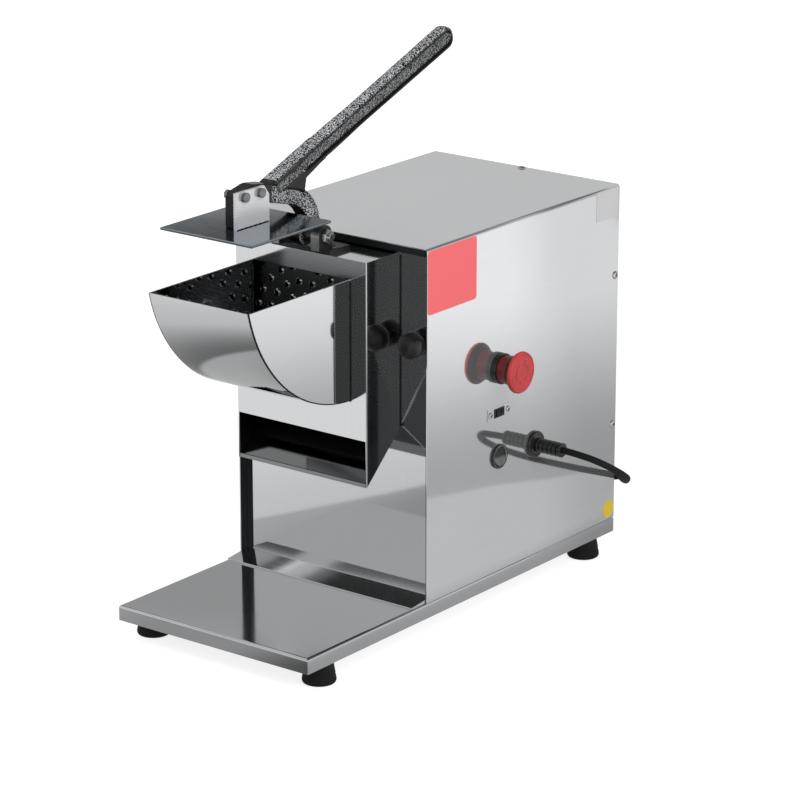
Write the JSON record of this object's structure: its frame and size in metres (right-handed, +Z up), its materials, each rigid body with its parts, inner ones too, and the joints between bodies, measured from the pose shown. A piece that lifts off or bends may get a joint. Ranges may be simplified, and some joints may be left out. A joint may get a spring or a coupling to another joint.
{
  "type": "electric cheese grater",
  "caption": "Countertop electric cheese grater: a box-shaped steel motor housing, a clamped grating head with a curved feed hopper, and a cast lever that presses the food on a spinning disc.",
  "frame": {"origin": "middle of the footprint on the floor, measured without the cord", "axes": "+X to the side with the switches, -Y to the front with the hopper, +Z up"},
  "size_m": [0.3095, 0.5906, 0.5379],
  "materials": {
    "sheet_steel": "brushed stainless sheet",
    "cover_steel": "bright stainless sheet",
    "panel_steel": "bright stainless sheet",
    "polished_steel": "polished stainless sheet",
    "presser_steel": "brushed stainless plate",
    "bolt_steel": "bright steel",
    "cast_black": "hammered black and silver enamel on cast iron",
    "foot_rubber": "matte rubber",
    "cord_rubber": "matte flexible sheath",
    "black_plastic": "satin moulded plastic",
    "red_plastic": "satin moulded plastic",
    "white_plastic": "moulded plastic",
    "green_plastic": "moulded plastic",
    "motor_alloy": "cast alloy",
    "motor_paint": "dark grey paint",
    "motor_core": "laminated steel",
    "pin_brass": "nickelled brass"
  },
  "bodies": {
    "frame": {"base_plate": "sheet_steel", "foot_front_left": "foot_rubber", "foot_front_right": "foot_rubber", "foot_rear_left": "foot_rubber", "foot_rear_right": "foot_rubber", "foot_screws": "bolt_steel", "housing_cover": "cover_steel", "front_panel": "panel_steel", "rear_panel": "panel_steel", "cover_screws": "bolt_steel", "head_box": "polished_steel", "chute_plate": "polished_steel", "head_flange": "sheet_steel", "hopper": "polished_steel", "clamp_studs": "bolt_steel", "hinge_bracket": "cast_black", "hinge_bolt": "bolt_steel", "hinge_nut": "bolt_steel", "shaft_seal": "foot_rubber", "motor_front_bell": "motor_alloy", "motor_casing": "motor_paint", "motor_rear_bell": "motor_alloy", "motor_stator": "motor_core", "motor_bearings": "bolt_steel", "motor_bolts": "bolt_steel", "fan_cowl": "motor_paint", "motor_pedestal": "motor_paint", "capacitor": "white_plastic", "capacitor_clip": "bolt_steel", "terminal_block": "white_plastic", "stop_collar": "black_plastic", "stop_lock_nut": "black_plastic", "stop_contact_block": "green_plastic", "selector_body": "black_plastic", "selector_plate": "sheet_steel", "selector_screws": "bolt_steel", "rocker_body": "black_plastic", "rocker_pin": "bolt_steel", "cord_gland": "black_plastic", "gland_nut": "black_plastic", "cord_lead": "cord_rubber", "cord_coil": "cord_rubber", "coil_tie": "cord_rubber", "plug_body": "black_plastic", "plug_pins": "pin_brass"},
    "lever": {"lever_casting": "cast_black", "presser_bracket": "sheet_steel", "bracket_bolts": "bolt_steel", "presser_plate": "presser_steel"},
    "disc_rotor": {"grating_disc": "polished_steel", "disc_hub": "bolt_steel", "disc_nut": "bolt_steel", "motor_rotor": "motor_core", "motor_fan": "white_plastic"},
    "knob_left": {"clamp_knob_left": "black_plastic"},
    "knob_right": {"clamp_knob_right": "black_plastic"},
    "stop_stem": {"stop_plunger": "red_plastic"},
    "stop_head": {"stop_cap": "red_plastic"},
    "selector": {"selector_slider": "black_plastic"},
    "rocker": {"rocker_button": "black_plastic"}
  },
  "joints": [
    {"name": "lever_press", "type": "hinge", "parent": "frame", "child": "lever", "pos_m": [-0.0155, -0.10157, 0.383], "axis": [1, 0, 0], "range_deg": [-30, 95]},
    {"name": "disc_spin", "type": "hinge", "parent": "frame", "child": "disc_rotor", "pos_m": [-0.0155, -0.06057, 0.29], "axis": [0, 1, 0], "continuous": true},
    {"name": "knob_left_turn", "type": "hinge", "parent": "frame", "child": "knob_left", "pos_m": [-0.1125, -0.06057, 0.2835], "axis": [0, 1, 0], "continuous": true},
    {"name": "knob_right_turn", "type": "hinge", "parent": "frame", "child": "knob_right", "pos_m": [0.0815, -0.06057, 0.2835], "axis": [0, 1, 0], "continuous": true},
    {"name": "stop_push", "type": "slide", "parent": "frame", "child": "stop_stem", "axis": [-1, 0, 0], "range_m": [0, 0.004], "stiffness_N_per_m": 40, "springref_m": -0.001},
    {"name": "stop_twist", "type": "hinge", "parent": "stop_stem", "child": "stop_head", "pos_m": [0.1145, 0.05143, 0.237], "axis": [1, 0, 0], "range_deg": [-40, 0], "stiffness_Nm_per_rad": 0.004},
    {"name": "selector_slide", "type": "slide", "parent": "frame", "child": "selector", "axis": [0, 1, 0], "range_m": [0, 0.005]},
    {"name": "rocker_tilt", "type": "hinge", "parent": "frame", "child": "rocker", "pos_m": [0.094, 0.05143, 0.15], "axis": [0, 1, 0], "range_deg": [0, 14]}
  ]
}
